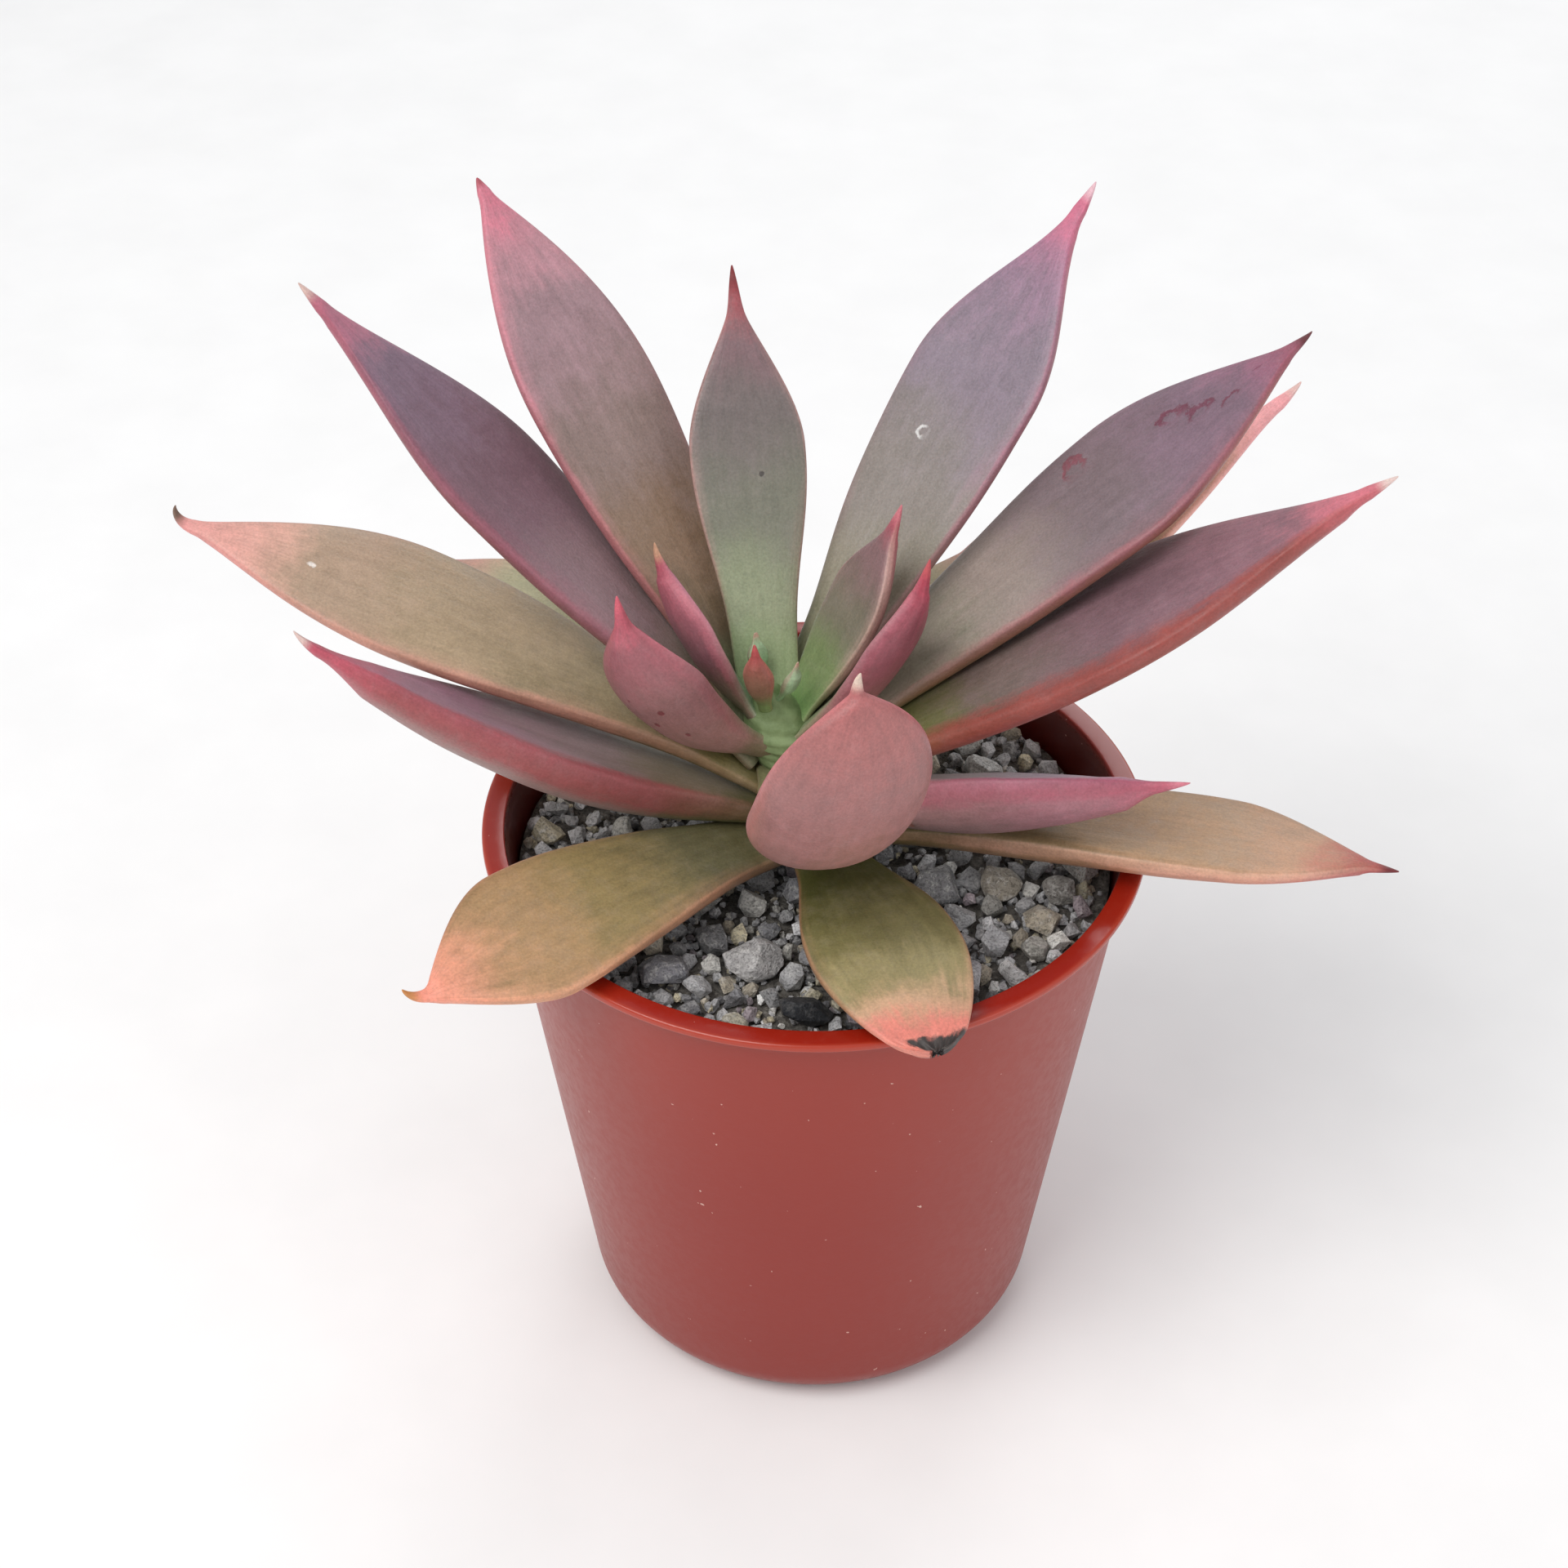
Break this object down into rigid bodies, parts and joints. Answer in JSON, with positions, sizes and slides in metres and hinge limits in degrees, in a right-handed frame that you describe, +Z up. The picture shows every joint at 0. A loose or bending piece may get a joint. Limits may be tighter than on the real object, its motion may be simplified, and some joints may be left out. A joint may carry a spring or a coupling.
{
  "type": "potted succulent",
  "caption": "Rosette succulent with long pointed fleshy leaves, grit top dressing, in a small round tapered plastic nursery pot.",
  "frame": {"origin": "on the pot's axis, on the underside of its flat floor, which rests on the ground", "axes": "+Z up along the pot's axis; -Y towards the viewer, the side where the torn leaf lies across the rim; +X to the viewer's right"},
  "size_m": [0.1166, 0.0698, 0.1145],
  "materials": {
    "pot_plastic": "satin brick-red plastic, glossier on the rim",
    "growing_mix": "dark damp growing mix",
    "grit": "matt grey crushed rock",
    "stem": "matt grey-green, fleshy",
    "leaf_low_back_left": "matt waxy bloom, pale green",
    "leaf_rim_front_left": "matt waxy bloom, tan and olive, with an orange tip",
    "leaf_torn_front": "matt waxy bloom, olive, turning pink towards a torn grey end",
    "leaf_rim_right": "matt waxy bloom, tan, with a salmon underside and a dark red tip",
    "leaf_low_back_right": "matt waxy bloom, olive green",
    "leaf_keeled_left": "matt waxy bloom, lilac above, pale pink below, broad red margin",
    "leaf_tan_left": "matt waxy bloom, tan and ochre, with a pink margin",
    "leaf_pink_right": "matt waxy bloom, lilac above, dusty pink below, hot-pink margin",
    "leaf_behind_right": "matt waxy bloom, pink running to cream and olive",
    "leaf_red_edged_right": "matt waxy bloom, mauve with a red streak along its near margin, green base",
    "leaf_purple_left": "matt waxy bloom, purple with a pink lower margin",
    "leaf_scarred_right": "matt waxy bloom, purple-mauve with red margin and scars",
    "leaf_upper_left": "matt waxy bloom, mauve-brown with pink tip and margins",
    "leaf_upper_right": "matt waxy bloom, grey-purple with pinkish margins",
    "leaf_front_incurved": "matt waxy bloom, salmon pink with rosy margins",
    "leaf_inner_spotted": "matt waxy bloom, dusty pink with dark red spots",
    "leaf_inner_maroon": "matt waxy bloom, maroon with pink edges",
    "leaf_back_centre": "matt waxy bloom, grey-green with pink margins and a red point",
    "leaf_inner_left": "matt waxy bloom, maroon and grey-lilac",
    "leaf_inner_right": "matt waxy bloom, olive grey, green base, red tip",
    "leaf_young_pointed": "matt waxy bloom, red-brown",
    "leaf_bud_left": "matt waxy bloom, pale mint green",
    "leaf_bud_right": "matt waxy bloom, pale mint green",
    "stone_quartz_front": "matt broken rock",
    "stone_grey_front": "matt broken rock",
    "stone_black_front": "matt broken rock",
    "stone_cream_front": "matt broken rock",
    "stone_pitted": "matt broken rock",
    "stone_tan_square": "matt broken rock",
    "stone_tan_grey": "matt broken rock",
    "stone_crystalline": "matt broken rock",
    "stone_mauve": "matt broken rock",
    "stone_pale_right": "matt broken rock",
    "stone_cream_left": "matt broken rock",
    "stone_white_left": "matt broken rock",
    "stone_grey_left": "matt broken rock",
    "stone_back": "matt broken rock",
    "stone_back_right": "matt broken rock",
    "stone_back_left": "matt broken rock"
  },
  "bodies": {
    "root": {"pot": "pot_plastic", "growing_mix": "growing_mix", "grit_bed": "grit", "stem": "stem", "leaf_low_back_left": "leaf_low_back_left", "leaf_rim_front_left": "leaf_rim_front_left", "leaf_torn_front": "leaf_torn_front", "leaf_rim_right": "leaf_rim_right", "leaf_low_back_right": "leaf_low_back_right", "leaf_keeled_left": "leaf_keeled_left", "leaf_tan_left": "leaf_tan_left", "leaf_pink_right": "leaf_pink_right", "leaf_behind_right": "leaf_behind_right", "leaf_red_edged_right": "leaf_red_edged_right", "leaf_purple_left": "leaf_purple_left", "leaf_scarred_right": "leaf_scarred_right", "leaf_upper_left": "leaf_upper_left", "leaf_upper_right": "leaf_upper_right", "leaf_front_incurved": "leaf_front_incurved", "leaf_inner_spotted": "leaf_inner_spotted", "leaf_inner_maroon": "leaf_inner_maroon", "leaf_back_centre": "leaf_back_centre", "leaf_inner_left": "leaf_inner_left", "leaf_inner_right": "leaf_inner_right", "leaf_young_pointed": "leaf_young_pointed", "leaf_bud_left": "leaf_bud_left", "leaf_bud_right": "leaf_bud_right", "stone_quartz_front": "stone_quartz_front", "stone_grey_front": "stone_grey_front", "stone_black_front": "stone_black_front", "stone_cream_front": "stone_cream_front", "stone_pitted": "stone_pitted", "stone_tan_square": "stone_tan_square", "stone_tan_grey": "stone_tan_grey", "stone_crystalline": "stone_crystalline", "stone_mauve": "stone_mauve", "stone_pale_right": "stone_pale_right", "stone_cream_left": "stone_cream_left", "stone_white_left": "stone_white_left", "stone_grey_left": "stone_grey_left", "stone_back": "stone_back", "stone_back_right": "stone_back_right", "stone_back_left": "stone_back_left"}
  },
  "joints": []
}
